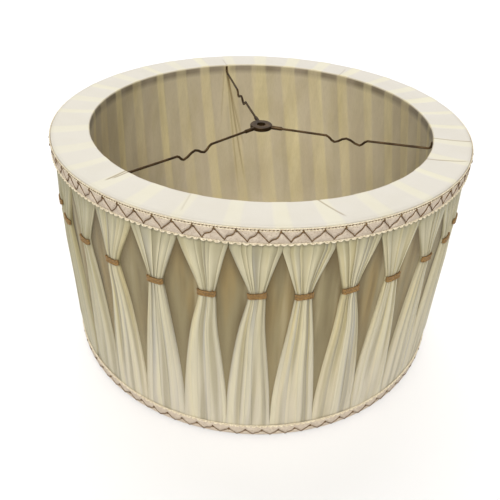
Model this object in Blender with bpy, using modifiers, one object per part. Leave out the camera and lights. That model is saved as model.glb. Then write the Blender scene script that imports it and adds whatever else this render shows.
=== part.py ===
"""Drum lamp shade: wire frame, spider fitter, pleated lining, plain cover, tied pleats and braid trim.

The shade stands on its lower edge with the origin at the middle of that edge, +Z up.
Run with: blender --background --python part.py
"""

import math

import bmesh
import bpy
from mathutils import Matrix

# Overall sizes, in metres.
SHADE_RADIUS = 0.2540  # outside of the braid tape
SHADE_HEIGHT = 0.2960  # lower edge to the top of the collar
OPENING_RADIUS = 0.2093  # inside of the lining where it folds over the inner ring

# Cloth and clearances.
CLOTH = 0.0006  # the lining and the cover, with their turnings
GAP = 0.0003  # between pieces that touch
FACET_GAP = 0.0006  # the same where the facets of the two pieces do not line up

# Wire frame.
RING_WIRE = 0.0032
RIB_WIRE = 0.0026
RIB_BEND = 0.0050  # bend radius at the shoulder of a rib
RIB_COUNT = 6
FIRST_RIB_DEG = -134.0
BAND_HEIGHT = 0.0060  # the inner ring is a flat band
BAND_THICKNESS = 0.0015

# Spider fitter.
HUB_RADIUS = 0.0138
HUB_HOLE_RADIUS = 0.00555
HUB_THICKNESS = 0.0050
HUB_EDGE = 0.0006  # chamfer
HUB_DROP = 0.0125  # collar's top to the middle of the hub
LUG_RADIUS = 0.0024
LUG_REACH = 0.0270  # middle of the hub to the mouth of a lug
SOCKET_DEPTH = 0.0080
ARM_WIRE = 0.0030
ARM_COUNT = 3
ARM_KNEES = ((0.083, 0.0), (0.094, -0.0070), (0.108, -0.0005), (0.125, -0.0070), (0.134, 0.0))
ARM_RISE = 0.0020  # how far the outer end of an arm is above its inner end
ARM_BEND = 0.0040  # bend radius of the upturned foot
FOOT_DROP = 0.0020  # collar's top to the top of an arm's foot

# Pleated overlay, which the ties draw into bunches.
BUNCH_COUNT = 31
FIRST_BUNCH_DEG = -90.0
BUNCH_COLUMNS = 3
OVERLAY_THICKNESS = 0.0012
BELLY_THICKNESS = 0.0020  # how much thicker the pleats lie where bunches meet again
NECK_DROP = 0.0810  # collar's top to the middle of the ties
NECK_WIDTH = 0.0170
NECK_THICKNESS = 0.0036
NECK_MARGIN = 0.0012  # straight neck above and below a tie
MEET_HEIGHT = 0.0600  # lower edge to where neighbouring bunches meet again
BELLY_DROP = 0.0060  # from there down to where the pleats lie thickest
WINDOW_TUCK = 0.0015  # how far the gap between bunches reaches up behind the tape
TIE_HEIGHT = 0.0065
TIE_THICKNESS = 0.0012

# Braid trim.
TAPE_WIDTH = 0.0190
TAPE_THICKNESS = 0.0009
TAPE_INSET = 0.0012  # edge of the shade to the edge of the tape
CORD_WIRE = 0.0012
TOP_REPEATS = 79  # zigzags in one turn of the cord
BOTTOM_REPEATS = 82
TOP_APEX_DEG = -89.6  # one of the zigzag's upper turns
BOTTOM_APEX_DEG = -90.6
CORD_SWING = 0.0060  # half the height of the zigzag
LIP_DEPTH = 0.0140  # how far the collar turns down behind the tape

# Fineness of the round shapes.
TURNED_STEPS = 72
WIRE_SIDES = 8
CORD_SIDES = 4
HUB_STEPS = 32
BEND_STEPS = 4
KNEE_STEPS = 3

# Places that follow from the sizes above, from the outside in.
TAPE_INNER = SHADE_RADIUS - TAPE_THICKNESS
LIP_OUTER = TAPE_INNER - GAP
LIP_INNER = LIP_OUTER - CLOTH
OVERLAY_OUTER = LIP_INNER - FACET_GAP
OVERLAY_INNER = OVERLAY_OUTER - OVERLAY_THICKNESS
COVER_OUTER = OVERLAY_INNER - FACET_GAP
COVER_INNER = COVER_OUTER - CLOTH
RING_RADIUS = COVER_INNER - GAP - RING_WIRE / 2
UNDER_COLLAR = SHADE_HEIGHT - CLOTH - GAP
BAND_INNER = OPENING_RADIUS + CLOTH + GAP
BAND_OUTER = BAND_INNER + BAND_THICKNESS
BAND_BOTTOM = UNDER_COLLAR - BAND_HEIGHT
BOTTOM_RING_Z = CLOTH + GAP + RING_WIRE / 2
LINING_FOOT_RADIUS = RING_RADIUS - RING_WIRE / 2 - FACET_GAP
HUB_Z = SHADE_HEIGHT - HUB_DROP
ARM_END_Z = HUB_Z + ARM_RISE
FOOT_RADIUS = BAND_INNER - GAP - ARM_WIRE / 2
NECK_Z = SHADE_HEIGHT - NECK_DROP
TOP_TAPE_Z = SHADE_HEIGHT - TAPE_INSET - TAPE_WIDTH / 2
BOTTOM_TAPE_Z = TAPE_INSET + TAPE_WIDTH / 2
BUNCH_STEP = 2 * math.pi / BUNCH_COUNT

# A tie is flat at the back and the neck inside it is round, so the neck stands off a little more.
TIE_BACK = COVER_OUTER + GAP
NECK_SAG = math.cos(math.pi / BUNCH_COUNT / BUNCH_COLUMNS) * math.cos(NECK_WIDTH / 2 / COVER_OUTER)
NECK_INNER = (TIE_BACK + TIE_THICKNESS + GAP) / NECK_SAG
NECK_OUTER = NECK_INNER + NECK_THICKNESS

# Colour, roughness and metallic value of each material.
FINISHES = {
    "frame_steel": ((0.16, 0.13, 0.11), 0.55, 0.8),
    "spider_bronze": ((0.12, 0.08, 0.045), 0.45, 0.9),
    "lining_cloth": ((0.80, 0.78, 0.68), 0.85, 0.0),
    "cover_cloth": ((0.52, 0.45, 0.29), 0.85, 0.0),
    "overlay_cloth": ((0.76, 0.73, 0.60), 0.80, 0.0),
    "tie_cord": ((0.33, 0.19, 0.09), 0.85, 0.0),
    "braid_tape": ((0.72, 0.62, 0.53), 0.90, 0.0),
    "braid_cord": ((0.22, 0.13, 0.06), 0.80, 0.0),
}


def clear_scene():
    """Remove every object that the file opened with."""
    for obj in list(bpy.data.objects):
        bpy.data.objects.remove(obj, do_unlink=True)


def make_collection(name):
    """Return a new collection linked to the scene."""
    collection = bpy.data.collections.new(name)
    bpy.context.scene.collection.children.link(collection)
    return collection


def make_material(name, finish):
    """Return a Principled material for one sub-part."""
    colour, roughness, metallic = FINISHES[finish]
    material = bpy.data.materials.new(name)
    material.use_nodes = True
    shader = material.node_tree.nodes["Principled BSDF"]
    shader.inputs["Base Color"].default_value = (*colour, 1.0)
    shader.inputs["Roughness"].default_value = roughness
    shader.inputs["Metallic"].default_value = metallic
    return material


def add_part(name, data, finish):
    """Add a sub-part to the shade's collection, with its own material."""
    data.materials.append(make_material(name, finish))
    part = bpy.data.objects.new(name, data)
    PARTS.objects.link(part)
    return part


def add_cutter(name, mesh):
    """Add an object that only cuts others and isn't part of the shade."""
    cutter = bpy.data.objects.new(name, mesh)
    cutter.display_type = "WIRE"
    cutter.hide_render = True
    CUTTERS.objects.link(cutter)
    return cutter


def to_mesh(name, shape):
    """Store a bmesh in a new mesh, shaded smooth but for its sharp edges."""
    mesh = bpy.data.meshes.new(name)
    shape.to_mesh(mesh)
    shape.free()
    mesh.shade_smooth()
    mesh.set_sharp_from_angle(angle=math.radians(40))
    return mesh


def polar(radius, angle, z):
    """Return the point at a radius and an angle about the shade's axis."""
    return (radius * math.cos(angle), radius * math.sin(angle), z)


def turned(name, profile, finish, closed):
    """Turn a profile of (radius, height) points about the shade's axis.

    A closed profile makes a solid. An open one makes a sheet that still needs its thickness.
    """
    mesh = bpy.data.meshes.new(name)
    edges = [(i, i + 1) for i in range(len(profile) - 1)]
    if closed:
        edges.append((len(profile) - 1, 0))
    mesh.from_pydata([(radius, 0.0, z) for radius, z in profile], edges, [])
    part = add_part(name, mesh, finish)
    screw = part.modifiers.new("turn", "SCREW")
    screw.steps = TURNED_STEPS
    screw.render_steps = TURNED_STEPS
    screw.merge_threshold = 0.0001
    screw.use_merge_vertices = True
    screw.use_smooth_shade = True
    return part


def turned_box(name, inner, outer, bottom, top, finish):
    """Turn a rectangle about the shade's axis, as a band or a tape."""
    profile = [(outer, top), (outer, bottom), (inner, bottom), (inner, top)]
    return turned(name, profile, finish, closed=True)


def thicken(part, thickness, side):
    """Give an open sheet its thickness, to one side of it, -1 or 1."""
    solidify = part.modifiers.new("thickness", "SOLIDIFY")
    solidify.thickness = thickness
    solidify.offset = side
    solidify.use_even_offset = True


def wire(name, points, diameter, finish, closed=False, sides=WIRE_SIDES):
    """Add a round wire through the given points, with an even number of sides from 4 up."""
    curve = bpy.data.curves.new(name, "CURVE")
    curve.dimensions = "3D"
    curve.bevel_depth = diameter / 2
    curve.bevel_resolution = sides // 2 - 2
    curve.use_fill_caps = not closed
    spline = curve.splines.new("POLY")
    spline.points.add(len(points) - 1)
    for point, place in zip(spline.points, points):
        point.co = (*place, 1.0)
    spline.use_cyclic_u = closed
    return add_part(name, curve, finish)


def bend(radius, corner, start_deg, end_deg):
    """Return points of a bend as (radius, height) pairs about the bend's middle."""
    points = []
    for i in range(BEND_STEPS + 1):
        angle = math.radians(start_deg + (end_deg - start_deg) * i / BEND_STEPS)
        points.append((corner[0] + radius * math.cos(angle), corner[1] + radius * math.sin(angle)))
    return points


def add_rings():
    """Add the two wire rings and the flat inner ring."""
    heights = {"top_outer_ring": UNDER_COLLAR - RING_WIRE / 2, "bottom_ring": BOTTOM_RING_Z}
    for name, z in heights.items():
        turns = [2 * math.pi * i / TURNED_STEPS for i in range(TURNED_STEPS)]
        points = [polar(RING_RADIUS, angle, z) for angle in turns]
        wire(name, points, RING_WIRE, "frame_steel", closed=True)
    turned_box("top_inner_ring", BAND_INNER, BAND_OUTER, BAND_BOTTOM, UNDER_COLLAR, "frame_steel")


def add_ribs():
    """Add the ribs, each bent from the inner ring over the shoulder and down to the bottom ring."""
    leg_z = UNDER_COLLAR - RIB_WIRE / 2
    shoulder = RING_RADIUS - RING_WIRE / 2 - FACET_GAP - RIB_WIRE / 2
    profile = [(BAND_OUTER + GAP, leg_z)]
    profile += bend(RIB_BEND, (shoulder - RIB_BEND, leg_z - RIB_BEND), 90, 0)
    profile.append((RING_RADIUS, BOTTOM_RING_Z + RING_WIRE / 2 + GAP))
    for i in range(RIB_COUNT):
        angle = math.radians(FIRST_RIB_DEG) + 2 * math.pi * i / RIB_COUNT
        points = [polar(radius, angle, z) for radius, z in profile]
        wire(f"rib_{i + 1}", points, RIB_WIRE, "frame_steel")


def arm_angle(i):
    """Return the angle of a spider arm, which lines up with every other rib."""
    return math.radians(FIRST_RIB_DEG) + 2 * math.pi * i / ARM_COUNT


def eased(start, end, share):
    """Return a height part of the way from start to end, level at both."""
    return start + (end - start) * (1 - math.cos(math.pi * share)) / 2


def arm_profile():
    """Return an arm's (radius, height) points from its socket to the top of its foot."""
    points = [(LUG_REACH - SOCKET_DEPTH + GAP, HUB_Z)]
    for (near, low), (far, high) in zip(ARM_KNEES, ARM_KNEES[1:]):
        for i in range(KNEE_STEPS):
            share = i / KNEE_STEPS
            points.append((near + (far - near) * share, HUB_Z + eased(low, high, share)))
    points.append((ARM_KNEES[-1][0], HUB_Z + ARM_KNEES[-1][1]))
    points += bend(ARM_BEND, (FOOT_RADIUS - ARM_BEND, ARM_END_Z + ARM_BEND), -90, 0)
    points.append((FOOT_RADIUS, SHADE_HEIGHT - FOOT_DROP))
    return points


def add_spider():
    """Add the cast hub with its lugs and the three arms that plug into them."""
    top, bottom = HUB_Z + HUB_THICKNESS / 2, HUB_Z - HUB_THICKNESS / 2
    profile = [
        (HUB_RADIUS - HUB_EDGE, top),
        (HUB_RADIUS, top - HUB_EDGE),
        (HUB_RADIUS, bottom + HUB_EDGE),
        (HUB_RADIUS - HUB_EDGE, bottom),
        (HUB_HOLE_RADIUS, bottom),
        (HUB_HOLE_RADIUS, top),
    ]
    hub = turned("spider_hub", profile, "spider_bronze", closed=True)
    hub.modifiers["turn"].steps = HUB_STEPS
    hub.modifiers["turn"].render_steps = HUB_STEPS
    lug_root = (HUB_RADIUS + HUB_HOLE_RADIUS) / 2
    for i in range(ARM_COUNT):
        angle = arm_angle(i)
        lug = radial_rod(f"lug_{i + 1}", angle, lug_root, LUG_REACH, LUG_RADIUS)
        socket_end = LUG_REACH + GAP
        socket = radial_rod(
            f"socket_{i + 1}", angle, LUG_REACH - SOCKET_DEPTH, socket_end, ARM_WIRE / 2 + GAP
        )
        for cutter, operation in ((lug, "UNION"), (socket, "DIFFERENCE")):
            boolean = hub.modifiers.new(cutter.name, "BOOLEAN")
            boolean.operation = operation
            boolean.object = cutter
        points = [polar(radius, angle, z) for radius, z in arm_profile()]
        wire(f"spider_arm_{i + 1}", points, ARM_WIRE, "spider_bronze")


def radial_rod(name, angle, near, far, radius):
    """Add a rod that points out from the axis at the hub's height, for the booleans on the hub."""
    shape = bmesh.new()
    turn = Matrix.Rotation(angle, 4, "Z") @ Matrix.Rotation(math.pi / 2, 4, "Y")
    place = Matrix.Translation(polar((near + far) / 2, angle, HUB_Z)) @ turn
    bmesh.ops.create_cone(
        shape,
        cap_ends=True,
        segments=2 * WIRE_SIDES,
        radius1=radius,
        radius2=radius,
        depth=far - near,
        matrix=place,
    )
    return add_cutter(name, to_mesh(name, shape))


def add_lining():
    """Add the pleated cloth: one piece, from behind the tape over the collar and down the inside."""
    drop = BAND_BOTTOM - GAP
    profile = [
        (LIP_OUTER, SHADE_HEIGHT - LIP_DEPTH),
        (LIP_OUTER, SHADE_HEIGHT),
        (OPENING_RADIUS, SHADE_HEIGHT),
        (OPENING_RADIUS, drop),
        (LINING_FOOT_RADIUS - CLOTH, GAP),
    ]
    lining = turned("lining", profile, "lining_cloth", closed=False)
    thicken(lining, CLOTH, side=1)
    low = ARM_END_Z - ARM_WIRE / 2 - GAP
    high = SHADE_HEIGHT - FOOT_DROP + GAP
    for i in range(ARM_COUNT):
        angle = arm_angle(i)
        shape = bmesh.new()
        bmesh.ops.create_cube(shape, size=1.0)
        size = (ARM_WIRE + 2 * GAP, ARM_WIRE + 2 * GAP, high - low)
        bmesh.ops.scale(shape, vec=size, verts=shape.verts)
        place = Matrix.Translation(polar(FOOT_RADIUS, angle, (low + high) / 2))
        bmesh.ops.transform(shape, matrix=place @ Matrix.Rotation(angle, 4, "Z"), verts=shape.verts)
        slot = add_cutter(f"slot_{i + 1}", to_mesh(f"slot_{i + 1}", shape))
        boolean = lining.modifiers.new(slot.name, "BOOLEAN")
        boolean.operation = "DIFFERENCE"
        boolean.object = slot


def add_cover():
    """Add the plain cloth under the pleats, turned in below the bottom ring."""
    hem = RING_RADIUS - RING_WIRE / 2
    profile = [(COVER_OUTER, UNDER_COLLAR), (COVER_OUTER, 0.0), (hem, 0.0)]
    cover = turned("base_cover", profile, "cover_cloth", closed=False)
    thicken(cover, CLOTH, side=-1)


def prism(shape, outline, low, high, capped):
    """Add a prism to a bmesh, from low to high along Z, with a given convex outline.

    Returns its vertices. Without caps it is an open loop.
    """
    corners = len(outline)
    made = bmesh.ops.create_cone(
        shape, cap_ends=capped, segments=corners, radius1=1.0, radius2=1.0, depth=2.0
    )["verts"]
    for vert in made:
        turn = math.atan2(vert.co.x, vert.co.y) % (2 * math.pi)
        across, along = outline[-round(turn * corners / (2 * math.pi)) % corners]
        vert.co = (across, along, high if vert.co.z > 0.0 else low)
    return made


def bunch_angle(i):
    """Return the angle of a bunch's middle."""
    return math.radians(FIRST_BUNCH_DEG) + i * BUNCH_STEP


def overlay_levels():
    """Return the overlay's (height, inner radius, outer radius) from the top edge down."""
    neck_half = TIE_HEIGHT / 2 + 2 * NECK_MARGIN
    low_outer = TAPE_INNER - FACET_GAP
    return [
        (UNDER_COLLAR, OVERLAY_INNER, OVERLAY_OUTER),
        (TOP_TAPE_Z - TAPE_WIDTH / 2, OVERLAY_INNER, OVERLAY_OUTER),
        (NECK_Z + neck_half, NECK_INNER, NECK_OUTER),
        (NECK_Z - neck_half, NECK_INNER, NECK_OUTER),
        (MEET_HEIGHT - BELLY_DROP, OVERLAY_INNER, OVERLAY_OUTER + BELLY_THICKNESS),
        (BOTTOM_TAPE_Z + TAPE_WIDTH / 2, OVERLAY_INNER, low_outer),
        (GAP, OVERLAY_INNER, low_outer),
    ]


def add_overlay():
    """Add the pleated cloth over the cover, open between the bunches that the ties draw in."""
    levels = overlay_levels()
    profile = [(outer, z) for z, _, outer in levels] + [(inner, z) for z, inner, _ in levels[::-1]]
    overlay = turned("pleated_overlay", profile, "overlay_cloth", closed=True)
    overlay.modifiers["turn"].steps = BUNCH_COUNT * BUNCH_COLUMNS
    overlay.modifiers["turn"].render_steps = BUNCH_COUNT * BUNCH_COLUMNS
    overlay.rotation_euler.z = bunch_angle(0)

    half_step = BUNCH_STEP / 2
    side = NECK_OUTER * math.sin(half_step) - NECK_WIDTH / 2 * math.cos(half_step)
    neck_half = TIE_HEIGHT / 2 + NECK_MARGIN
    outline = [
        (TAPE_WIDTH / 2 - WINDOW_TUCK - TOP_TAPE_Z, 0.0),
        (-NECK_Z - neck_half, -side),
        (-NECK_Z + neck_half, -side),
        (-MEET_HEIGHT, 0.0),
        (-NECK_Z + neck_half, side),
        (-NECK_Z - neck_half, side),
    ]
    windows = bmesh.new()
    lay_over = Matrix.Rotation(math.pi / 2, 3, "Y")
    for i in range(BUNCH_COUNT):
        window = prism(windows, outline, COVER_INNER, SHADE_RADIUS + NECK_THICKNESS, capped=True)
        turn = Matrix.Rotation(bunch_angle(i) + half_step, 3, "Z")
        bmesh.ops.rotate(windows, verts=window, matrix=turn @ lay_over)
    cut = overlay.modifiers.new("windows", "BOOLEAN")
    cut.operation = "DIFFERENCE"
    cut.object = add_cutter("windows", to_mesh("windows", windows))


def add_ties():
    """Add the ties, a closed loop round the neck of each bunch."""
    side = NECK_WIDTH / 2 + GAP
    back, front = TIE_BACK + TIE_THICKNESS, NECK_OUTER + GAP
    outline = [(back, -side), (front, -side), (front, side), (back, side)]
    low, high = NECK_Z - TIE_HEIGHT / 2, NECK_Z + TIE_HEIGHT / 2
    for i in range(BUNCH_COUNT):
        name = f"tie_{i + 1:02d}"
        loop = bmesh.new()
        prism(loop, outline, low, high, capped=False)
        tie = add_part(name, to_mesh(name, loop), "tie_cord")
        tie.rotation_euler.z = bunch_angle(i)
        thicken(tie, TIE_THICKNESS, side=1)


def add_trim(name, middle, repeats, apex_deg):
    """Add one braid: its tape and the cord that zigzags over it."""
    low, high = middle - TAPE_WIDTH / 2, middle + TAPE_WIDTH / 2
    turned_box(f"{name}_tape", TAPE_INNER, SHADE_RADIUS, low, high, "braid_tape")
    radius = SHADE_RADIUS + GAP + CORD_WIRE / 2
    points = []
    for i in range(2 * repeats):
        z = middle + (-CORD_SWING if i % 2 else CORD_SWING)
        points.append(polar(radius, math.radians(apex_deg) + math.pi * i / repeats, z))
    wire(f"{name}_cord", points, CORD_WIRE, "braid_cord", closed=True, sides=CORD_SIDES)


clear_scene()
PARTS = make_collection("lamp_shade")
CUTTERS = make_collection("cutters")
add_rings()
add_ribs()
add_spider()
add_lining()
add_cover()
add_overlay()
add_ties()
add_trim("top_trim", TOP_TAPE_Z, TOP_REPEATS, TOP_APEX_DEG)
add_trim("bottom_trim", BOTTOM_TAPE_Z, BOTTOM_REPEATS, BOTTOM_APEX_DEG)
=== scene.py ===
"""Looks of a drum lamp shade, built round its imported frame.

A sheer pleated lining covers the collar and the inside, and a plain cover the outside. Over the cover
lies a pleated overlay that braided ties draw into bunches. Woven tape with a zigzag cord trims both edges.
"""

import logging
import math
from dataclasses import dataclass
from enum import Enum
from typing import ClassVar

import bpy
import numpy as np
from mathutils import Matrix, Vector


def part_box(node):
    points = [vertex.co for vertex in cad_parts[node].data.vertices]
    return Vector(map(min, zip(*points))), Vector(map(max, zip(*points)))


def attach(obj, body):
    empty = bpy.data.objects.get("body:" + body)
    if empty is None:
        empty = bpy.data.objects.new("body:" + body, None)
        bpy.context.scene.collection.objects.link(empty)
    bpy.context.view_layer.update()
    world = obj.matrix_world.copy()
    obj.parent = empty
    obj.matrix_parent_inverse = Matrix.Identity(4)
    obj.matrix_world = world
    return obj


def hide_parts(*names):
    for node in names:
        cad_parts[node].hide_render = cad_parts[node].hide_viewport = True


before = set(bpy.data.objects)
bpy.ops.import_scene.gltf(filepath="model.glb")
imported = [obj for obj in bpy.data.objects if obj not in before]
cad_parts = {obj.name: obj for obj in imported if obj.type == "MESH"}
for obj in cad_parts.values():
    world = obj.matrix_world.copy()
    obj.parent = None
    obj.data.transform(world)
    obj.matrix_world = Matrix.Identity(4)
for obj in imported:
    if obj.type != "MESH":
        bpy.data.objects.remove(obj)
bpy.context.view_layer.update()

LOG = logging.getLogger("lamp_shade")
MM = 0.001
TURN = 2 * math.pi
ROOT = "root"
DISPLAY_GAMMA = 2.2
BUNCHES = 31
RIPPLES = 7
Colour = tuple[float, float, float]
Direction = tuple[float, float, float]


class Weave(Enum):
    """How fine a cloth's threads are, as threads per turn of the drum and their pitch in metres."""

    SHEER = (3600, 0.00045)
    PLAIN = (2600, 0.00060)
    TAPE = (1560, 0.00100)


class Blend(Enum):
    """How one colour lies over another."""

    MIX = "MIX"
    MULTIPLY = "MULTIPLY"


@dataclass(frozen=True)
class Grain:
    """Soft noise in a cloth or a metal.

    A patch is size metres wide and tall times as high, with detail finer layers in it. Where the grain
    only marks part of the surface, its marks begin at the noise value start and are full at end.
    """

    size: float
    detail: float = 2.0
    tall: float = 1.0
    start: float = 0.0
    end: float = 1.0


class Value:
    """A number socket that takes part in Python expressions."""

    def __init__(self, graph: "Graph", socket: bpy.types.NodeSocket) -> None:
        """Hold a socket and the graph it is in."""
        self.graph = graph
        self.socket = socket

    def _math(self, operation: str, *operands: "Value | float") -> "Value":
        """Add a Math node.

        Args:
            operation: what it works out.
            operands: what it works on, in order.

        Returns:
            The node's result.
        """
        sockets = dict(enumerate(operands))
        made = self.graph.node("ShaderNodeMath", {"operation": operation}, sockets)
        return Value(self.graph, made.outputs[0])

    def __add__(self, other: "Value | float") -> "Value":
        """Return the sum."""
        return self._math("ADD", self, other)

    __radd__ = __add__

    def __mul__(self, other: "Value | float") -> "Value":
        """Return the product."""
        return self._math("MULTIPLY", self, other)

    __rmul__ = __mul__

    def __sub__(self, other: "Value | float") -> "Value":
        """Return the difference."""
        return self._math("SUBTRACT", self, other)

    def __rsub__(self, other: "Value | float") -> "Value":
        """Return the difference, with this value taken away."""
        return self._math("SUBTRACT", other, self)

    def __truediv__(self, other: "Value | float") -> "Value":
        """Return the quotient."""
        return self._math("DIVIDE", self, other)

    def __pow__(self, other: "Value | float") -> "Value":
        """Return the power."""
        return self._math("POWER", self, other)

    def sine(self) -> "Value":
        """Return the sine."""
        return self._math("SINE", self)

    def step(self, start: float, end: float) -> "Value":
        """Return a smooth step.

        Args:
            start: where the step is still 0.
            end: where it has reached 1, below start for a step that falls with the value.

        Returns:
            The step, from 0 to 1.
        """
        low, high = min(start, end), max(start, end)
        before, after = (0.0, 1.0) if start < end else (1.0, 0.0)
        sockets = {0: self, 1: low, 2: high, 3: before, 4: after}
        made = self.graph.node("ShaderNodeMapRange", {"interpolation_type": "SMOOTHSTEP"}, sockets)
        return Value(self.graph, made.outputs[0])


class Graph:
    """The node graph of one material."""

    def __init__(self, name: str) -> None:
        """Make an empty material.

        Args:
            name: the material's name.
        """
        self.material = bpy.data.materials.new(name)
        self.material.use_nodes = True
        self.tree = self.material.node_tree
        self.tree.nodes.clear()

    def node(
        self,
        kind: str,
        settings: dict[str, object] | None = None,
        sockets: dict[int | str, object] | None = None,
    ) -> bpy.types.Node:
        """Add a node.

        Args:
            kind: Blender's type name of the node.
            settings: the node's own properties, and "stops" for a ramp's (position, colour) pairs.
            sockets: values, values of the graph or sockets, by the input's name or number.

        Returns:
            The node.
        """
        made = self.tree.nodes.new(kind)
        for key, setting in (settings or {}).items():
            if key == "stops":
                ramp = made.color_ramp.elements
                for index, (position, colour) in enumerate(setting):
                    stop = ramp[index] if index < 2 else ramp.new(position)
                    stop.position = position
                    stop.color = (*colour, 1.0)
            else:
                setattr(made, key, setting)
        for key, given in (sockets or {}).items():
            given = given.socket if isinstance(given, Value) else given
            if isinstance(given, bpy.types.NodeSocket):
                self.tree.links.new(given, made.inputs[key])
            elif isinstance(given, tuple) and len(made.inputs[key].default_value) == 4:
                made.inputs[key].default_value = (*given, 1.0)
            else:
                made.inputs[key].default_value = given
        return made

    def position(self) -> list[Value]:
        """Find the shaded point.

        Returns:
            Its x, y and z in the shade's own frame.
        """
        place = self.node("ShaderNodeTexCoord")
        parts = self.node("ShaderNodeSeparateXYZ", sockets={0: place.outputs["Object"]})
        return [Value(self, output) for output in parts.outputs]

    def around(self) -> Value:
        """Return the turn about the shade's axis, from -0.5 to 0.5."""
        x, y, _ = self.position()
        return x._math("ARCTAN2", y, x) * (1 / TURN)

    def attribute(self, name: str) -> Value:
        """Return a value stored on the mesh's points."""
        made = self.node("ShaderNodeAttribute", {"attribute_name": name})
        return Value(self, made.outputs["Fac"])

    def noise(self, size: float, detail: float = 2.0, stretch: Direction = (1.0, 1.0, 1.0)) -> Value:
        """Return soft noise.

        Args:
            size: width of a patch, in metres.
            detail: how many finer layers it has.
            stretch: how many times longer a patch is along x, y and z.

        Returns:
            The noise, from 0 to 1.
        """
        place = self.node("ShaderNodeTexCoord")
        scale = tuple(1 / part for part in stretch)
        moved = self.node("ShaderNodeMapping", sockets={0: place.outputs["Object"], "Scale": scale})
        sockets = {"Vector": moved.outputs[0], "Scale": 1 / size, "Detail": detail}
        made = self.node("ShaderNodeTexNoise", sockets=sockets)
        return Value(self, made.outputs["Fac"])

    def grain(self, grain: Grain) -> Value:
        """Return the noise of a grain, from 0 to 1."""
        return self.noise(grain.size, grain.detail, (1.0, 1.0, grain.tall))

    def marks(self, grain: Grain) -> Value:
        """Return where a grain marks the surface, from 0 to 1."""
        return self.grain(grain).step(grain.start, grain.end)

    def mix(
        self,
        share: Value | float,
        first: object,
        second: object,
        blend: Blend = Blend.MIX,
    ) -> bpy.types.NodeSocket:
        """Mix two colours.

        Args:
            share: how much of the second shows, from 0 to 1.
            first: the first colour, or a socket that gives it.
            second: the second colour, or a socket that gives it.
            blend: how the second lies over the first.

        Returns:
            The socket that gives the mixed colour.
        """
        settings = {"data_type": "RGBA", "blend_type": blend.value}
        made = self.node("ShaderNodeMix", settings, {0: share, 6: first, 7: second})
        return made.outputs[2]

    def bump(self, height: Value, depth: float) -> bpy.types.NodeSocket:
        """Return the normal of a relief of that height, from 0 to 1, times depth in metres."""
        made = self.node("ShaderNodeBump", sockets={"Height": height, "Distance": depth, "Strength": 1.0})
        return made.outputs[0]

    def weave(self, weave: Weave) -> Value:
        """Weave threads round the drum and across them.

        Args:
            weave: how fine the threads are.

        Returns:
            The relief of the threads, from 0 to 1.
        """
        threads, pitch = weave.value
        x, y, z = self.position()
        radius = (x * x + y * y) ** 0.5
        warp = (self.around() * (threads * TURN)).sine()
        weft = ((z + radius) * (TURN / pitch)).sine()
        return warp * weft * 0.5 + 0.5

    def surface(self, **sockets: object) -> bpy.types.Material:
        """Finish the material with a Principled shader.

        Args:
            sockets: values or links of the shader's inputs, with _ for a space in a name.

        Returns:
            The material.
        """
        named = {key.replace("_", " "): given for key, given in sockets.items()}
        shader = self.node("ShaderNodeBsdfPrincipled", sockets=named)
        self.node("ShaderNodeOutputMaterial", sockets={"Surface": shader.outputs[0]})
        return self.material


def tint(red: float, green: float, blue: float) -> Colour:
    """Return the colour of those display values, from 0 to 255, in linear light."""
    return tuple((part / 255) ** DISPLAY_GAMMA for part in (red, green, blue))


def smooth(values: np.ndarray, start: float, end: float) -> np.ndarray:
    """Return 0 where values are below start and 1 above end, with a smooth rise."""
    share = np.clip((values - start) / (end - start), 0, 1)
    return share * share * (3 - 2 * share)


def arc_gap(first: np.ndarray, second: float) -> np.ndarray:
    """Return the signed angle from second to first, by the shorter way."""
    return (first - second + math.pi) % TURN - math.pi


def around_axis(radius: np.ndarray, angle: np.ndarray, height: np.ndarray) -> np.ndarray:
    """Return points from their radius, angle and height."""
    radius, angle, height = np.broadcast_arrays(radius, angle, height)
    return np.stack([radius * np.cos(angle), radius * np.sin(angle), height], axis=-1)


def outward(angle: np.ndarray) -> np.ndarray:
    """Return the direction away from the axis at each angle."""
    return around_axis(np.ones_like(angle), angle, np.zeros_like(angle))


def along_path(path: np.ndarray) -> np.ndarray:
    """Return the distance along a path at each of its points."""
    steps = np.linalg.norm(np.diff(path, axis=0), axis=1)
    return np.concatenate([[0], np.cumsum(steps)])


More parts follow.
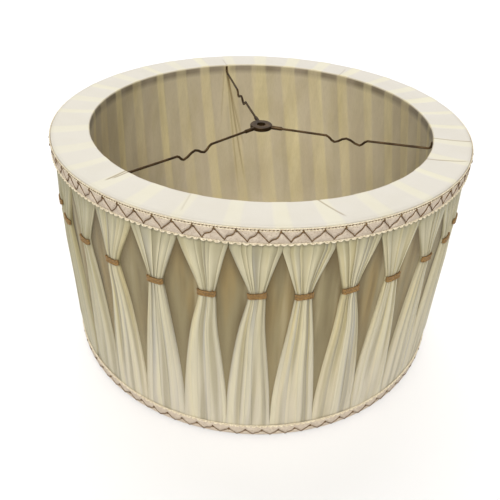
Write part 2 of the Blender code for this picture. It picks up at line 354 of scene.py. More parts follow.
class Patchwork:
    """A mesh put together from rectangular patches of points."""

    PLY_VALLEY = 0.80
    PLY_BULGE = 0.28
    TIP_SHARE = 0.3

    def __init__(self, name: str) -> None:
        """Start an empty mesh.

        Args:
            name: the mesh's name.
        """
        self.name = name
        self.points: list[np.ndarray] = []
        self.faces: list[np.ndarray] = []
        self.values: dict[str, list[np.ndarray]] = {}
        self.count = 0

    def patch(self, points: np.ndarray, closed: bool = False, **values: np.ndarray | float) -> None:
        """Add a patch.

        Args:
            points: rows by columns by 3. A face looks to the side from which its columns go to the right
                and its rows go up.
            closed: whether the last column joins the first.
            values: what to store on the points, by name.
        """
        rows, columns = points.shape[:2]
        spans = columns if closed else columns - 1
        row, column = np.meshgrid(np.arange(rows - 1), np.arange(spans), indexing="ij")
        after = (column + 1) % columns
        corners = [row * columns + column, row * columns + after]
        corners += [(row + 1) * columns + after, (row + 1) * columns + column]
        self.faces.append(np.stack(corners, axis=-1).reshape(-1, 4) + self.count)
        self.points.append(points.reshape(-1, 3))
        for name, value in values.items():
            spread = np.broadcast_to(np.asarray(value, float), (rows, columns)).reshape(-1)
            self.values.setdefault(name, []).append(spread)
        self.count += rows * columns

    def tube(
        self,
        path: np.ndarray,
        radius: np.ndarray | float,
        up: np.ndarray,
        sides: int = 8,
        closed: bool = False,
        plies: int = 0,
        lay: float = 0.004,
    ) -> None:
        """Add a round wire or a twisted cord along a path.

        Args:
            path: the points of its middle line.
            radius: its radius, one or one for each point.
            up: a direction for each point, that the path never runs along.
            sides: corners of its cross-section.
            closed: whether the path is a loop.
            plies: how many strands show twisted round each other; 0 for a plain wire.
            lay: length of one turn of the twist, in metres.
        """
        ahead = np.roll(path, -1, axis=0) - np.roll(path, 1, axis=0)
        if not closed:
            ahead[0], ahead[-1] = path[1] - path[0], path[-1] - path[-2]
        ahead /= np.linalg.norm(ahead, axis=1, keepdims=True)
        over = up - (up * ahead).sum(axis=1, keepdims=True) * ahead
        over /= np.linalg.norm(over, axis=1, keepdims=True)
        side = np.cross(ahead, over)
        turn = np.arange(sides) / sides * TURN
        size = np.broadcast_to(np.asarray(radius, float), (len(path),))[:, None]
        if plies:
            phase = along_path(path)[:, None] / lay * TURN
            bulge = np.abs(np.cos((turn[None, :] - phase) * plies / 2))
            size = size * (self.PLY_VALLEY + self.PLY_BULGE * bulge)
        ring = over[:, None, :] * np.cos(turn)[None, :, None]
        ring = ring + side[:, None, :] * np.sin(turn)[None, :, None]
        points = path[:, None, :] + ring * np.broadcast_to(size, (len(path), sides))[..., None]
        points = points[:, ::-1]
        if closed:
            points = np.concatenate([points, points[:1]])
        else:
            start = path[0] - ahead[0] * size[0].mean() * self.TIP_SHARE
            end = path[-1] + ahead[-1] * size[-1].mean() * self.TIP_SHARE
            first, last = (np.broadcast_to(tip, (1, sides, 3)) for tip in (start, end))
            points = np.concatenate([first, points, last])
        self.patch(points, closed=True)

    def build(self, material: bpy.types.Material) -> bpy.types.Object:
        """Make the mesh and put it in the scene.

        Args:
            material: what it is dressed in.

        Returns:
            The piece.
        """
        points = np.concatenate(self.points).astype(np.float32)
        faces = np.concatenate(self.faces).astype(np.int32)
        mesh = bpy.data.meshes.new(self.name)
        mesh.vertices.add(len(points))
        mesh.vertices.foreach_set("co", points.reshape(-1))
        mesh.loops.add(faces.size)
        mesh.loops.foreach_set("vertex_index", faces.reshape(-1))
        mesh.polygons.add(len(faces))
        mesh.polygons.foreach_set("loop_start", np.arange(0, faces.size, 4, dtype=np.int32))
        mesh.update(calc_edges=True)
        mesh.shade_smooth()
        for name, parts in self.values.items():
            layer = mesh.attributes.new(name, "FLOAT", "POINT")
            layer.data.foreach_set("value", np.concatenate(parts).astype(np.float32))
        mesh.materials.append(material)
        piece = bpy.data.objects.new(self.name, mesh)
        bpy.context.scene.collection.objects.link(piece)
        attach(piece, ROOT)
        LOG.info("%s: %d points", self.name, len(points))
        return piece


@dataclass(frozen=True)
class SheerFinish:
    """Pale sheer cloth of the lining and the collar, yellower where two layers lie over each other, with
    painted shade low on the inside, in its creases, along the bunches' outlines and on the outer rim.
    """

    collar: Colour = tint(215, 210, 200)
    collar_double: Colour = tint(226, 221, 197)
    inside: Colour = tint(201, 189, 159)
    inside_double: Colour = tint(223, 209, 162)
    lavender: Colour = tint(196, 182, 160)
    # shadow is painted shade low on the inside, along the bunches' outlines and on the outer rim; it is
    # also the colour of the inner ring showing through and of the thread marks.
    shadow: Colour = tint(112, 100, 80)
    # crease is the painted shade along the creases and the gathers.
    crease: Colour = tint(130, 107, 62)
    stain: Colour = tint(205, 196, 150)
    patches: Grain = Grain(0.035, 3.0, 2.5, 0.35, 0.70)
    panels: Grain = Grain(0.030, 1.0, 20.0, 0.40, 0.62)
    threads: Grain = Grain(0.0011, 2.0, 18.0, 0.35, 0.75)
    crinkle: Grain = Grain(0.006)
    # Heights over which the inside is painted darker towards the bottom, as painted shade.
    low_heights: tuple[float, float] = (0.22, 0.04)
    relief: float = 0.00012
    roughness: float = 0.72

    def material(self) -> bpy.types.Material:
        """Dress the lining, from its points' depth, overlap, crease and ring_and_painted_shade values.

        Returns:
            The material.
        """
        graph = Graph("lining_cloth")
        depth = graph.attribute("depth").step(0.0, 1.0)
        overlap = graph.attribute("overlap")
        outer = graph.mix(overlap, self.collar, self.collar_double)
        inner = graph.mix(overlap, self.inside, self.inside_double)
        cloth = graph.mix(depth, outer, inner)
        # The dark inner ring showing through, darker near the hem, and painted shade along the bunches'
        # outlines and on the outer rim.
        with_ring_and_shade = graph.mix(graph.attribute("ring_and_painted_shade"), cloth, self.shadow)
        patches = graph.marks(self.patches) * (0.06 + depth * 0.22)
        toned = graph.mix(patches, with_ring_and_shade, self.stain, Blend.MULTIPLY)
        panels = graph.marks(self.panels) * depth * 0.25
        panelled = graph.mix(panels, toned, self.lavender)
        # Painted shade: the inside darkens towards the bottom.
        low_shade = graph.position()[2].step(*self.low_heights) * depth * 0.30
        low = graph.mix(low_shade, panelled, self.shadow)
        threads = graph.marks(self.threads) * (0.02 + depth * 0.08)
        threaded = graph.mix(threads, low, self.shadow)
        # Painted shade along the creases and the gathers.
        crease_shaded = graph.mix(graph.attribute("crease"), threaded, self.crease)
        relief = graph.bump(graph.weave(Weave.SHEER) * 0.3 + graph.grain(self.crinkle), self.relief)
        return graph.surface(Base_Color=crease_shaded, Roughness=self.roughness, Sheen_Weight=0.15, Normal=relief)


@dataclass(frozen=True)
class CoverFinish:
    """Plain olive cloth stretched over the frame behind the bunches, with painted shade in its puckers'
    hollows, painted light on their crests and towards the foot, and painted shadow beside the bunches and
    under the top tape.
    """

    hollow_shade: Colour = tint(88, 73, 42)
    olive: Colour = tint(132, 120, 86)
    golden: Colour = tint(148, 121, 66)
    painted_light: Colour = tint(161, 149, 114)
    warmth: Grain = Grain(0.022, 2.0, 8.0, 0.45, 0.70)
    folds: Grain = Grain(0.009, 2.0, 9.0)
    crinkle: Grain = Grain(0.005, 3.0)
    # Heights over which the cover is painted lighter towards the foot, as painted light.
    low_heights: tuple[float, float] = (0.20, 0.06)
    relief: float = 0.0003
    roughness: float = 0.78

    def material(self) -> bpy.types.Material:
        """Dress the cover, from its points' swell and shadow.

        Returns:
            The material.
        """
        graph = Graph("cover_cloth")
        height = graph.position()[2]
        warm = graph.marks(self.warmth)
        # swell and the fold grain paint shade into the puckers' hollows and light onto their crests.
        swell = graph.attribute("swell") + (graph.grain(self.folds) - 0.5) * 0.9
        ground = graph.mix(warm * 0.6, self.olive, self.golden)
        shaded = graph.mix(graph.attribute("shadow"), ground, self.hollow_shade)
        hollow_shaded = graph.mix(swell.step(0.50, 0.05) * 0.55, shaded, self.hollow_shade)
        painted_light = graph.mix(swell.step(0.48, 0.90) * 0.70, hollow_shaded, self.painted_light)
        # Painted light: lighter towards the foot.
        cloth = graph.mix(height.step(*self.low_heights) * 0.45, painted_light, self.painted_light)
        relief = graph.bump(graph.weave(Weave.PLAIN) * 0.4 + graph.grain(self.crinkle), self.relief)
        return graph.surface(Base_Color=cloth, Roughness=self.roughness, Sheen_Weight=0.1, Normal=relief)


@dataclass(frozen=True)
class OverlayFinish:
    """Soft pleated cloth, darker towards the top tape by painted shade, with painted light and shade along
    its folds and on its sides, whose pleats differ a little in colour.
    """

    lavender: Colour = tint(161, 158, 149)
    cream: Colour = tint(186, 178, 150)
    yellow: Colour = tint(196, 182, 136)
    # lit is the painted highlight on the folded edges and fold crests, and the painted light of the
    # ripples.
    lit: Colour = tint(210, 201, 166)
    # low is the lighter, pinker tint of the lower part: partly painted light from below, partly a pinker
    # tone.
    low: Colour = tint(203, 194, 178)
    # fold is the painted shade in the tucks and the ripples' hollows; it also colours fine streaks in the
    # cloth.
    fold: Colour = tint(116, 104, 64)
    # shade is the painted shade under the top tape, above the ties and on the left and right sides.
    shade: Colour = tint(140, 134, 100)
    folds: Grain = Grain(0.012, 2.0, 6.0)
    streaks: Grain = Grain(0.0016, 2.0, 30.0, 0.45, 0.80)
    crinkle: Grain = Grain(0.004, 3.0, 4.0)
    low_heights: tuple[float, float] = (0.19, 0.03)
    relief: float = 0.0003
    roughness: float = 0.60

    def material(self) -> bpy.types.Material:
        """Dress the overlay, from its points' tone and the fold, edge, shade and ripple_light_and_shade
        values that paint its light and shade.

        Returns:
            The material.
        """
        graph = Graph("overlay_cloth")
        height = graph.position()[2]
        tone = graph.attribute("tone") + (graph.grain(self.folds) - 0.5) * 0.7
        low = graph.mix(tone.step(-0.15, 0.42), self.lavender, self.cream)
        cloth = graph.mix(tone.step(0.55, 1.1) * 0.9, low, self.yellow)
        # Lighter and pinker towards the bottom: partly painted light from below, partly a pinker tone.
        lit_from_below = graph.mix(height.step(*self.low_heights) * 0.55, cloth, self.low)
        # Painted shade and light that follow the ripples and broad folds.
        ripple_light_and_shade = graph.attribute("ripple_light_and_shade")
        ripple_shade = graph.mix(ripple_light_and_shade.step(0.1, -0.7) * 0.45, lit_from_below, self.fold)
        ripple_light = graph.mix(ripple_light_and_shade.step(0.1, 0.8) * 0.50, ripple_shade, self.lit)
        # Painted highlight along the folded edges.
        lit = graph.mix(graph.attribute("edge") * 0.9, ripple_light, self.lit)
        streaked = graph.mix(graph.marks(self.streaks) * 0.12, lit, self.fold)
        # Painted shade under the top tape, above the ties and on the sides.
        shaded = graph.mix(graph.attribute("shade"), streaked, self.shade)
        # Painted shade in the tucks.
        folded = graph.mix(graph.attribute("fold"), shaded, self.fold)
        relief = graph.bump(graph.weave(Weave.PLAIN) * 0.4 + graph.grain(self.crinkle), self.relief)
        return graph.surface(Base_Color=folded, Roughness=self.roughness, Sheen_Weight=0.1, Normal=relief)


@dataclass(frozen=True)
class ThreadFinish:
    """Thread, cord or braid, spun from fibres of two shades."""

    name: str
    dark: Colour
    light: Colour
    fleck: float
    roughness: float = 0.7

    def material(self) -> bpy.types.Material:
        """Dress a thread, a cord or a braid.

        Returns:
            The material.
        """
        graph = Graph(self.name)
        coarse = graph.noise(self.fleck, 3.0).step(0.38, 0.64)
        fibres = graph.noise(self.fleck * 0.35, 2.0)
        thread = graph.mix(coarse * 0.75 + fibres * 0.25, self.dark, self.light)
        relief = graph.bump(fibres, 0.0002)
        return graph.surface(Base_Color=thread, Roughness=self.roughness, Sheen_Weight=0.1, Normal=relief)


@dataclass(frozen=True)
class TapeFinish:
    """Pinkish cream woven tape."""

    ground: Colour = tint(194, 179, 160)
    speck: Colour = tint(162, 141, 116)
    light: Colour = tint(210, 196, 176)
    specks: Grain = Grain(0.0011, 2.0, 1.0, 0.52, 0.68)
    patches: Grain = Grain(0.006, 2.0, 1.0, 0.40, 0.65)
    relief: float = 0.0004
    roughness: float = 0.8

    def material(self) -> bpy.types.Material:
        """Dress a tape.

        Returns:
            The material.
        """
        graph = Graph("braid_tape")
        specks = graph.grain(self.specks)
        patched = graph.mix(graph.marks(self.patches) * 0.6, self.ground, self.light)
        speckled = specks.step(self.specks.start, self.specks.end) * 0.7
        cloth = graph.mix(speckled, patched, self.speck)
        relief = graph.bump(graph.weave(Weave.TAPE) * 0.6 + specks * 0.5, self.relief)
        return graph.surface(Base_Color=cloth, Roughness=self.roughness, Normal=relief)


@dataclass(frozen=True)
class MetalFinish:
    """Lacquered or plated steel, darker in patches."""

    name: str
    light: Colour
    dark: Colour
    metallic: float = 0.7
    roughness: float = 0.42

    def material(self) -> bpy.types.Material:
        """Dress a wire or a casting.

        Returns:
            The material.
        """
        graph = Graph(self.name)
        patches = graph.noise(0.012, 4.0)
        metal = graph.mix(patches.step(0.30, 0.75), self.dark, self.light)
        rough = patches * 0.15 + (self.roughness - 0.07)
        relief = graph.bump(graph.noise(0.0012, 3.0), 0.00004)
        return graph.surface(Base_Color=metal, Metallic=self.metallic, Roughness=rough, Normal=relief)


@dataclass(frozen=True)
class Drum:
    """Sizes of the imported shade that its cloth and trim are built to, in metres."""

    COLLAR_DEPTH: ClassVar[float] = 0.006

    top: float
    outer: float
    opening: float
    cover: float
    tape: tuple[float, float, float]
    low_tape: tuple[float, float, float]

    @classmethod
    def read(cls) -> "Drum":
        """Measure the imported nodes.

        Returns:
            The sizes.
        """
        lining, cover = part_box("lining"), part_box("base_cover")
        collar = lining[1].z - cls.COLLAR_DEPTH
        points = [v.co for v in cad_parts["lining"].data.vertices]
        radii = [math.hypot(point.x, point.y) for point in points if point.z > collar]
        tapes = [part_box(name) for name in ("top_trim_tape", "bottom_trim_tape")]
        rims = [(low.z, high.z, high.x) for low, high in tapes]
        return cls(lining[1].z, max(radii), min(radii), cover[1].x, rims[0], rims[1])


@dataclass(frozen=True)
class Crease:
    """A sharp fold across the collar, from its inner edge outwards."""

    middle_deg: float
    slant_deg: float
    end: float
    strength: float


@dataclass(frozen=True)
class Gather:
    """A line of painted shade where a fine fold runs down the inside from the foot of the back arm."""

    start_deg: float
    turn_deg: float
    length: float
    strength: float


@dataclass
class Lining:
    """Cloth that covers the collar, folds over the inner ring and lines the inside."""

    drum: Drum
    finish: SheerFinish
    lip_drop: float = 0.013
    edge_radius: float = 0.0014
    fold_radius: float = 0.0012
    band_drop: float = 0.0070
    collar_sag: float = 0.0004
    foot_radius: float = 0.2449
    foot_height: float = 0.0030
    stripes: int = 31
    stripe_share: float = 0.36
    stripe_edge: float = 0.10
    stripe_phase_deg: float = -86.0
    stripe_skew_deg: float = -8.7
    stripe_rise: float = 0.00035
    faint_deg: float = -140.0
    arm_foot_deg: float = 106.0
    arm_foot_width: float = 0.005
    crease_width: float = 0.0009
    crease_depth: float = 0.0005
    gather_width: float = 0.0012
    ripple: float = 0.0004
    # Where the bunches' outlines, painted as shade on the inside, lie: their reach at each height.
    outline_heights: tuple[float, ...] = (0.02, 0.06, 0.19, 0.215, 0.27)
    outline_reach: tuple[float, ...] = (0.5, 0.48, 0.22, 0.17, 0.5)
    columns: int = 1984
    seed: int = 5
    creases: tuple[Crease, ...] = (
        Crease(-130.6, 0.6, 0.66, 1.0),
        Crease(-129.6, -0.4, 0.50, 0.9),
        Crease(-108.0, 1.5, 0.80, 0.25),
        Crease(-74.0, 5.0, 0.80, 0.85),
        Crease(-28.6, 4.7, 1.00, 0.9),
        Crease(-12.0, 0.8, 1.20, 1.0),
        Crease(57.0, 2.0, 0.80, 0.3),
        Crease(106.0, 0.0, 0.70, 0.35),
    )
    gathers: tuple[Gather, ...] = (
        Gather(105.6, -13.0, 0.80, 0.8),
        Gather(106.2, -19.0, 0.55, 0.6),
        Gather(105.8, -9.0, 0.90, 0.5),
        Gather(107.0, 2.0, 0.35, 0.3),
    )

    def profile(self) -> tuple[np.ndarray, np.ndarray, np.ndarray]:
        """Draw the cloth's section, from the lip over the collar to the hem.

        Returns:
            The radius, the height and the depth, 0 outside and 1 inside, of its points.
        """
        outer, top, opening = self.drum.outer, self.drum.top, self.drum.opening
        quarter = np.linspace(0, math.pi / 2, 7)
        edge, fold = self.edge_radius, self.fold_radius
        radius = [np.full(4, outer)]
        height = [np.linspace(top - self.lip_drop, top - edge, 4)]
        radius.append(outer - edge + edge * np.cos(quarter[1:]))
        height.append(top - edge + edge * np.sin(quarter[1:]))
        radius.append(np.linspace(outer - edge, opening + fold, 22)[1:])
        height.append(top - self.collar_sag * np.sin(np.linspace(0, math.pi, 22)[1:]))
        radius.append(opening + fold - fold * np.sin(quarter[1:]))
        height.append(top - fold + fold * np.cos(quarter[1:]))
        radius.append(np.full(4, opening))
        height.append(np.linspace(top - fold, top - self.band_drop, 5)[1:])
        cone = np.linspace(0, 1, 36)[1:]
        radius.append(opening + (self.foot_radius - opening) * cone)
        height.append(top - self.band_drop + (self.foot_height - top + self.band_drop) * cone)
        depth = np.repeat([0.0, 0.5, 1.0], [4 + 6 + 21, 6, 4 + 35])
        return np.concatenate(radius), np.concatenate(height), depth

    def _overlap(
        self,
        angle: np.ndarray,
        radius: np.ndarray,
        depth: np.ndarray,
        fall: np.ndarray,
    ) -> np.ndarray:
        """Lay the pleats' stripes of doubled cloth.

        Args:
            angle: the points' angles.
            radius: their radii.
            depth: 0 outside and 1 inside.
            fall: how far down the inside they are, from 0 to 1.

        Returns:
            How far the cloth lies double, 0 to 1, and somewhat more below the back arm's foot.
        """
        rng = np.random.default_rng(self.seed)
        skew = np.radians(self.stripe_skew_deg) * fall
        phase = (angle - math.radians(self.stripe_phase_deg) - skew) / TURN * self.stripes
        turned = phase / self.stripes * TURN
        wander = 0.10 * np.sin(3 * turned + 1.0) + 0.05 * np.sin(7 * turned)
        number = np.floor(phase + wander)
        place = phase + wander - number
        widths = rng.uniform(0.75, 1.2, self.stripes + 1) * self.stripe_share
        strength = rng.uniform(0.6, 1.0, self.stripes + 1)
        index = number.astype(int) % self.stripes
        width = widths[index] * (1.12 + 0.28 * depth)
        edge = self.stripe_edge
        ends = 1 - smooth(place, width - edge, width)
        overlap = smooth(place, 0.0, edge) * ends * strength[index]
        faint = 0.22 * (1 + np.cos(arc_gap(angle, math.radians(self.faint_deg)))) * (1 - depth)
        overlap = overlap * (1 - faint) + 0.30 * faint
        beside = arc_gap(angle, math.radians(self.arm_foot_deg)) * radius
        glow = np.exp(-((beside / self.arm_foot_width) ** 2)) * (1 - smooth(fall, 0.02, 0.40))
        return np.clip(overlap + glow * (depth > 0.9), 0, 1.3)

    def _creased(self, angle: np.ndarray, radius: np.ndarray, depth: np.ndarray) -> np.ndarray:
        """Fold the collar's creases; their strength also sets the painted shade along them.

        Args:
            angle: the points' angles.
            radius: their radii.
            depth: 0 outside and 1 inside.

        Returns:
            How strong a crease is at each point, from 0 to 1.
        """
        span = self.drum.outer - self.drum.opening
        share = np.clip((radius - self.drum.opening) / span, 0, 1)
        total = np.zeros(angle.shape)
        for crease in self.creases:
            line = np.radians(crease.middle_deg + crease.slant_deg * share)
            across = np.abs(arc_gap(angle, line)) * radius
            within = smooth(share, -0.05, 0.02) * (1 - smooth(share, crease.end - 0.15, crease.end))
            ridge = np.exp(-((across / self.crease_width) ** 2)) * (depth < 0.9)
            total = total + crease.strength * within * ridge
        return np.clip(total, 0, 1)

    def _gathered(self, angle: np.ndarray, fall: np.ndarray, radius: np.ndarray) -> np.ndarray:
        """Paint the shade of fine gathers below the back arm's foot.

        Args:
            angle: the points' angles.
            fall: how far down the inside they are, from 0 to 1.
            radius: their radii.

        Returns:
            How strong a gather's painted shade is at each point, from 0 to 1.
        """
        total = np.zeros(angle.shape)
        for gather in self.gathers:
            line = np.radians(gather.start_deg + gather.turn_deg * fall)
            across = np.abs(arc_gap(angle, line)) * radius
            fade = 1 - smooth(fall, gather.length * 0.6, gather.length)
            total += gather.strength * np.exp(-((across / self.gather_width) ** 2)) * fade
        return np.clip(total, 0, 1)

    def _ring_and_painted_shade(
        self,
        angle: np.ndarray,
        radius: np.ndarray,
        height: np.ndarray,
        depth: np.ndarray,
        overlap: np.ndarray,
    ) -> np.ndarray:
        """Darken the cloth where the inner ring shows through it and near the hem, and paint shade along
        the bunches' outlines and on the outer rim.

        Args:
            angle: the points' angles.
            radius: their radii.
            height: their heights.
            depth: 0 outside and 1 inside.
            overlap: how far the cloth lies double there.

        Returns:
            How dark it is: the inner ring showing through, darker near the hem, and painted shade along the
                bunches' outlines and on the outer rim.
        """
        inside = depth > 0.9
        below = self.drum.top - height
        # The dark inner ring seen through the sheer cloth.
        band = (depth > 0.4) * smooth(below, 0.0012, 0.0025)
        band = band * (1 - smooth(below, self.band_drop + 0.0002, 0.0085))
        # Painted shade along the bunches' outlines, as light through the wall shows them.
        turn = (angle + math.pi / 2) / TURN * BUNCHES
        nearest = np.abs(turn - np.round(turn))
        reach = np.interp(height, self.outline_heights, self.outline_reach)
        outline = smooth(nearest, reach - 0.05, reach + 0.05) * inside
        ring_and_painted_shade = band * (0.85 - 0.5 * overlap) + 0.10 * outline
        # Darker near the hem.
        ring_and_painted_shade = ring_and_painted_shade + 0.35 * (1 - smooth(height, 0.003, 0.009)) * inside
        # Painted shade on the rounded outer rim.
        rim = smooth(radius, self.drum.outer - 0.0050, self.drum.outer - 0.0001) * (depth < 0.1)
        return np.clip(ring_and_painted_shade + 0.14 * rim, 0, 1)

    def build(self) -> bpy.types.Object:
        """Returns:
            The piece.
        """
        section = self.profile()
        angle = np.arange(self.columns) / self.columns * TURN
        angle = np.broadcast_to(angle, (len(section[0]), self.columns))
        radius, height, depth = (np.broadcast_to(part[:, None], angle.shape) for part in section)
        drop = self.drum.top - self.band_drop
        fall = np.clip((drop - height) / drop, 0, 1) * (depth > 0.9)
        overlap = self._overlap(angle, radius, depth, fall)
        crease = self._creased(angle, radius, depth)
        rise = self.stripe_rise * overlap - self.crease_depth * crease
        ripple = np.sin(angle * 43 + 2 * np.sin(angle * 5)) * fall * (1 - fall) * 4
        rise = rise + self.ripple * ripple
        slope = np.gradient(section[0]), np.gradient(section[1])
        length = np.hypot(*slope)
        radius = radius + rise * (slope[1] / length)[:, None]
        height = height + rise * (-slope[0] / length)[:, None]
        gathers = self._gathered(angle, fall, radius) * (depth > 0.9)
        spread = {
            "depth": depth,
            "overlap": overlap,
            # crease carries the painted shade of the creases and the gathers.
            "crease": np.maximum(crease, gathers) * 0.85,
            "ring_and_painted_shade": self._ring_and_painted_shade(angle, radius, height, depth, overlap),
        }
        cloth = Patchwork("lining_cloth")
        turned = {name: value[:, ::-1] for name, value in spread.items()}
        cloth.patch(around_axis(radius, angle, height)[:, ::-1], closed=True, **turned)
        piece = cloth.build(self.finish.material())
        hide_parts("lining")
        return piece


@dataclass
class Cover:
    """Plain cloth stretched between the outer rings, which shows between the bunches."""

    drum: Drum
    finish: CoverFinish
    overlay: "PleatedOverlay"
    pucker: float = 0.0009
    inset: float = 0.0004
    hem_rise: float = 0.0005
    waves: tuple[int, ...] = (31, 47, 62, 88, 124)
    shadow_reach: float = 0.011
    shadow_strength: float = 0.62
    tape_shadow_heights: tuple[float, float] = (0.215, 0.280)
    tape_shadow_strength: float = 0.25
    columns: int = 1488
    rows: int = 44
    seed: int = 11

    def _puckers(self, angle: np.ndarray, share: np.ndarray) -> np.ndarray:
        """Draw the upright puckers.

        Args:
            angle: the columns' angles.
            share: how far up each row is, from 0 to 1.

        Returns:
            How far each point stands out, from -1 to 1.
        """
        rng = np.random.default_rng(self.seed)
        puckers = np.zeros((len(share), len(angle)))
        for waves in self.waves:
            bend = rng.uniform(-0.6, 0.6) * share + rng.uniform(0, TURN)
            swell = 0.6 + 0.4 * np.cos(angle * rng.integers(2, 9) + rng.uniform(0, TURN))[None, :]
            weight = (self.waves[0] / waves) ** 0.6
            puckers += np.cos(angle[None, :] * waves + bend * 2) * swell * weight
        return puckers / np.abs(puckers).max()

    def _shadow(self, angle: np.ndarray, height: np.ndarray) -> np.ndarray:
        """Paint the shadow beside the bunches and under the top tape.

        Args:
            angle: the columns' angles.
            height: the rows' heights.

        Returns:
            How dark each point is, from 0 to 1.
        """
        shadow = np.zeros((len(height), len(angle)))
        for bunch in self.overlay.bunches:
            left, right = self.overlay.widths(bunch, height)
            near = self.overlay.nearness(bunch, height)
            gap = arc_gap(angle[None, :], (bunch.angle + bunch.wander * near)[:, None])
            reach = np.where(gap < 0, left[:, None], right[:, None]) * self.overlay.pitch / 2
            beyond = (np.abs(gap) - reach) * self.drum.cover
            weight = np.where(gap < 0, bunch.swell, 2 - bunch.swell) * self.shadow_strength
            shadow = np.maximum(shadow, (1 - smooth(beyond, 0.0, self.shadow_reach)) * weight)
        # Painted shadow under the top tape.
        tape_shadow = smooth(height, *self.tape_shadow_heights)[:, None]
        return np.clip(shadow + self.tape_shadow_strength * tape_shadow, 0, 1)

    def build(self) -> bpy.types.Object:
        """Returns:
            The piece.
        """
        low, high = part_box("base_cover")
        angle = np.arange(self.columns) / self.columns * TURN
        height = np.linspace(low.z + self.hem_rise, high.z, self.rows)
        share = (height[:, None] - low.z) / (high.z - low.z)
        puckers = self._puckers(angle, share)
        held = np.sin(np.clip(share, 0, 1) * math.pi) ** 0.4
        radius = self.drum.cover - self.inset - self.pucker * (1 - puckers) * 0.5 * held
        cloth = Patchwork("cover_cloth")
        points = around_axis(radius, angle, height[:, None])
        # swell paints shade into the puckers' hollows and light onto their crests; shadow is painted
        # shadow.
        cloth.patch(points, closed=True, swell=puckers * 0.5 + 0.5, shadow=self._shadow(angle, height))
        piece = cloth.build(self.finish.material())
        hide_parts("base_cover")
        return piece


@dataclass(frozen=True)
class PleatSection:
    """Cross-section of one pleat, in even steps from the edge that lies under to the folded edge."""

    lay: tuple[float, ...] = (0.0, 0.10, 0.30, 0.55, 0.80, 0.94, 1.03, 1.015)
    rise: tuple[float, ...] = (0.0, 0.30, 0.58, 0.80, 0.95, 1.0, 0.88, 0.42)
    # shade is the painted shade in the tuck, light the painted highlight along the folded edge.
    shade: tuple[float, ...] = (1.0, 0.50, 0.20, 0.05, 0.0, 0.0, 0.15, 0.8)
    light: tuple[float, ...] = (0.0, 0.0, 0.0, 0.05, 0.35, 1.0, 0.9, 0.2)
    columns: int = 11

    def laid(self, direction: int) -> list[np.ndarray]:
        """Lay the pleat to one side.

        Args:
            direction: 1 where its folded edge is to the right, -1 where it is to the left.

        Returns:
            The place across the pleat, the rise, the shade and the light of its columns.
        """
        steps = len(self.lay)
        places = np.linspace(0, steps - 1, self.columns)
        parts = (self.lay, self.rise, self.shade, self.light)
        lay, *rest = (np.interp(places, np.arange(steps), part) for part in parts)
        if direction > 0:
            return [lay, *rest]
        return [1 - lay[::-1], *(part[::-1] for part in rest)]


@dataclass
class Bunch:
    """One bunch of the pleated overlay: where it is, how wide it spreads and how its pleats lie."""

    angle: float
    wander: float
    tilt: float
    neck_height: float
    meets_above: float
    spread_left: float
    spread_right: float
    bounds: np.ndarray
    ripples: np.ndarray
    directions: np.ndarray
    heights: np.ndarray
    tones: np.ndarray
    swell: float
    phase: float

    @classmethod
    def draw(cls, rng: np.random.Generator, angle: float, neck: float, least: int, most: int) -> "Bunch":
        """Return a bunch at that angle, with the rest drawn by chance.

        Args:
            rng: source of the chance.
            angle: the middle of the bunch, in radians.
            neck: height of the tie's middle.
            least: fewest pleats.
            most: most pleats.

        Returns:
            The bunch.
        """
        pleats = int(rng.integers(least, most + 1))
        widths = rng.uniform(0.45, 1.5, pleats)
        levels = widths[None, :] * rng.uniform(0.65, 1.35, (4, pleats))
        bounds = np.concatenate([np.zeros((4, 1)), np.cumsum(levels, axis=1)], axis=1)
        bounds = bounds / bounds[:, -1:] * 2 - 1
        waves = RIPPLES
        return cls(
            angle,
            wander=math.radians(rng.normal(0, 0.55)),
            tilt=rng.normal(0, 0.07),
            neck_height=neck + rng.normal(0, 0.0007),
            meets_above=rng.uniform(0.80, 0.97),
            spread_left=rng.uniform(0.78, 1.15),
            spread_right=rng.uniform(0.78, 1.15),
            bounds=bounds,
            ripples=np.stack(
                [rng.uniform(2.5, 12, waves), rng.uniform(0, TURN, waves), rng.uniform(0.3, 1.0, waves)],
                axis=1,
            ),
            directions=rng.choice([-1, 1], pleats),
            heights=rng.uniform(0.55, 1.3, pleats),
            tones=rng.uniform(0, 1, pleats),
            swell=rng.uniform(0.8, 1.2),
            phase=rng.uniform(0, TURN),
        )


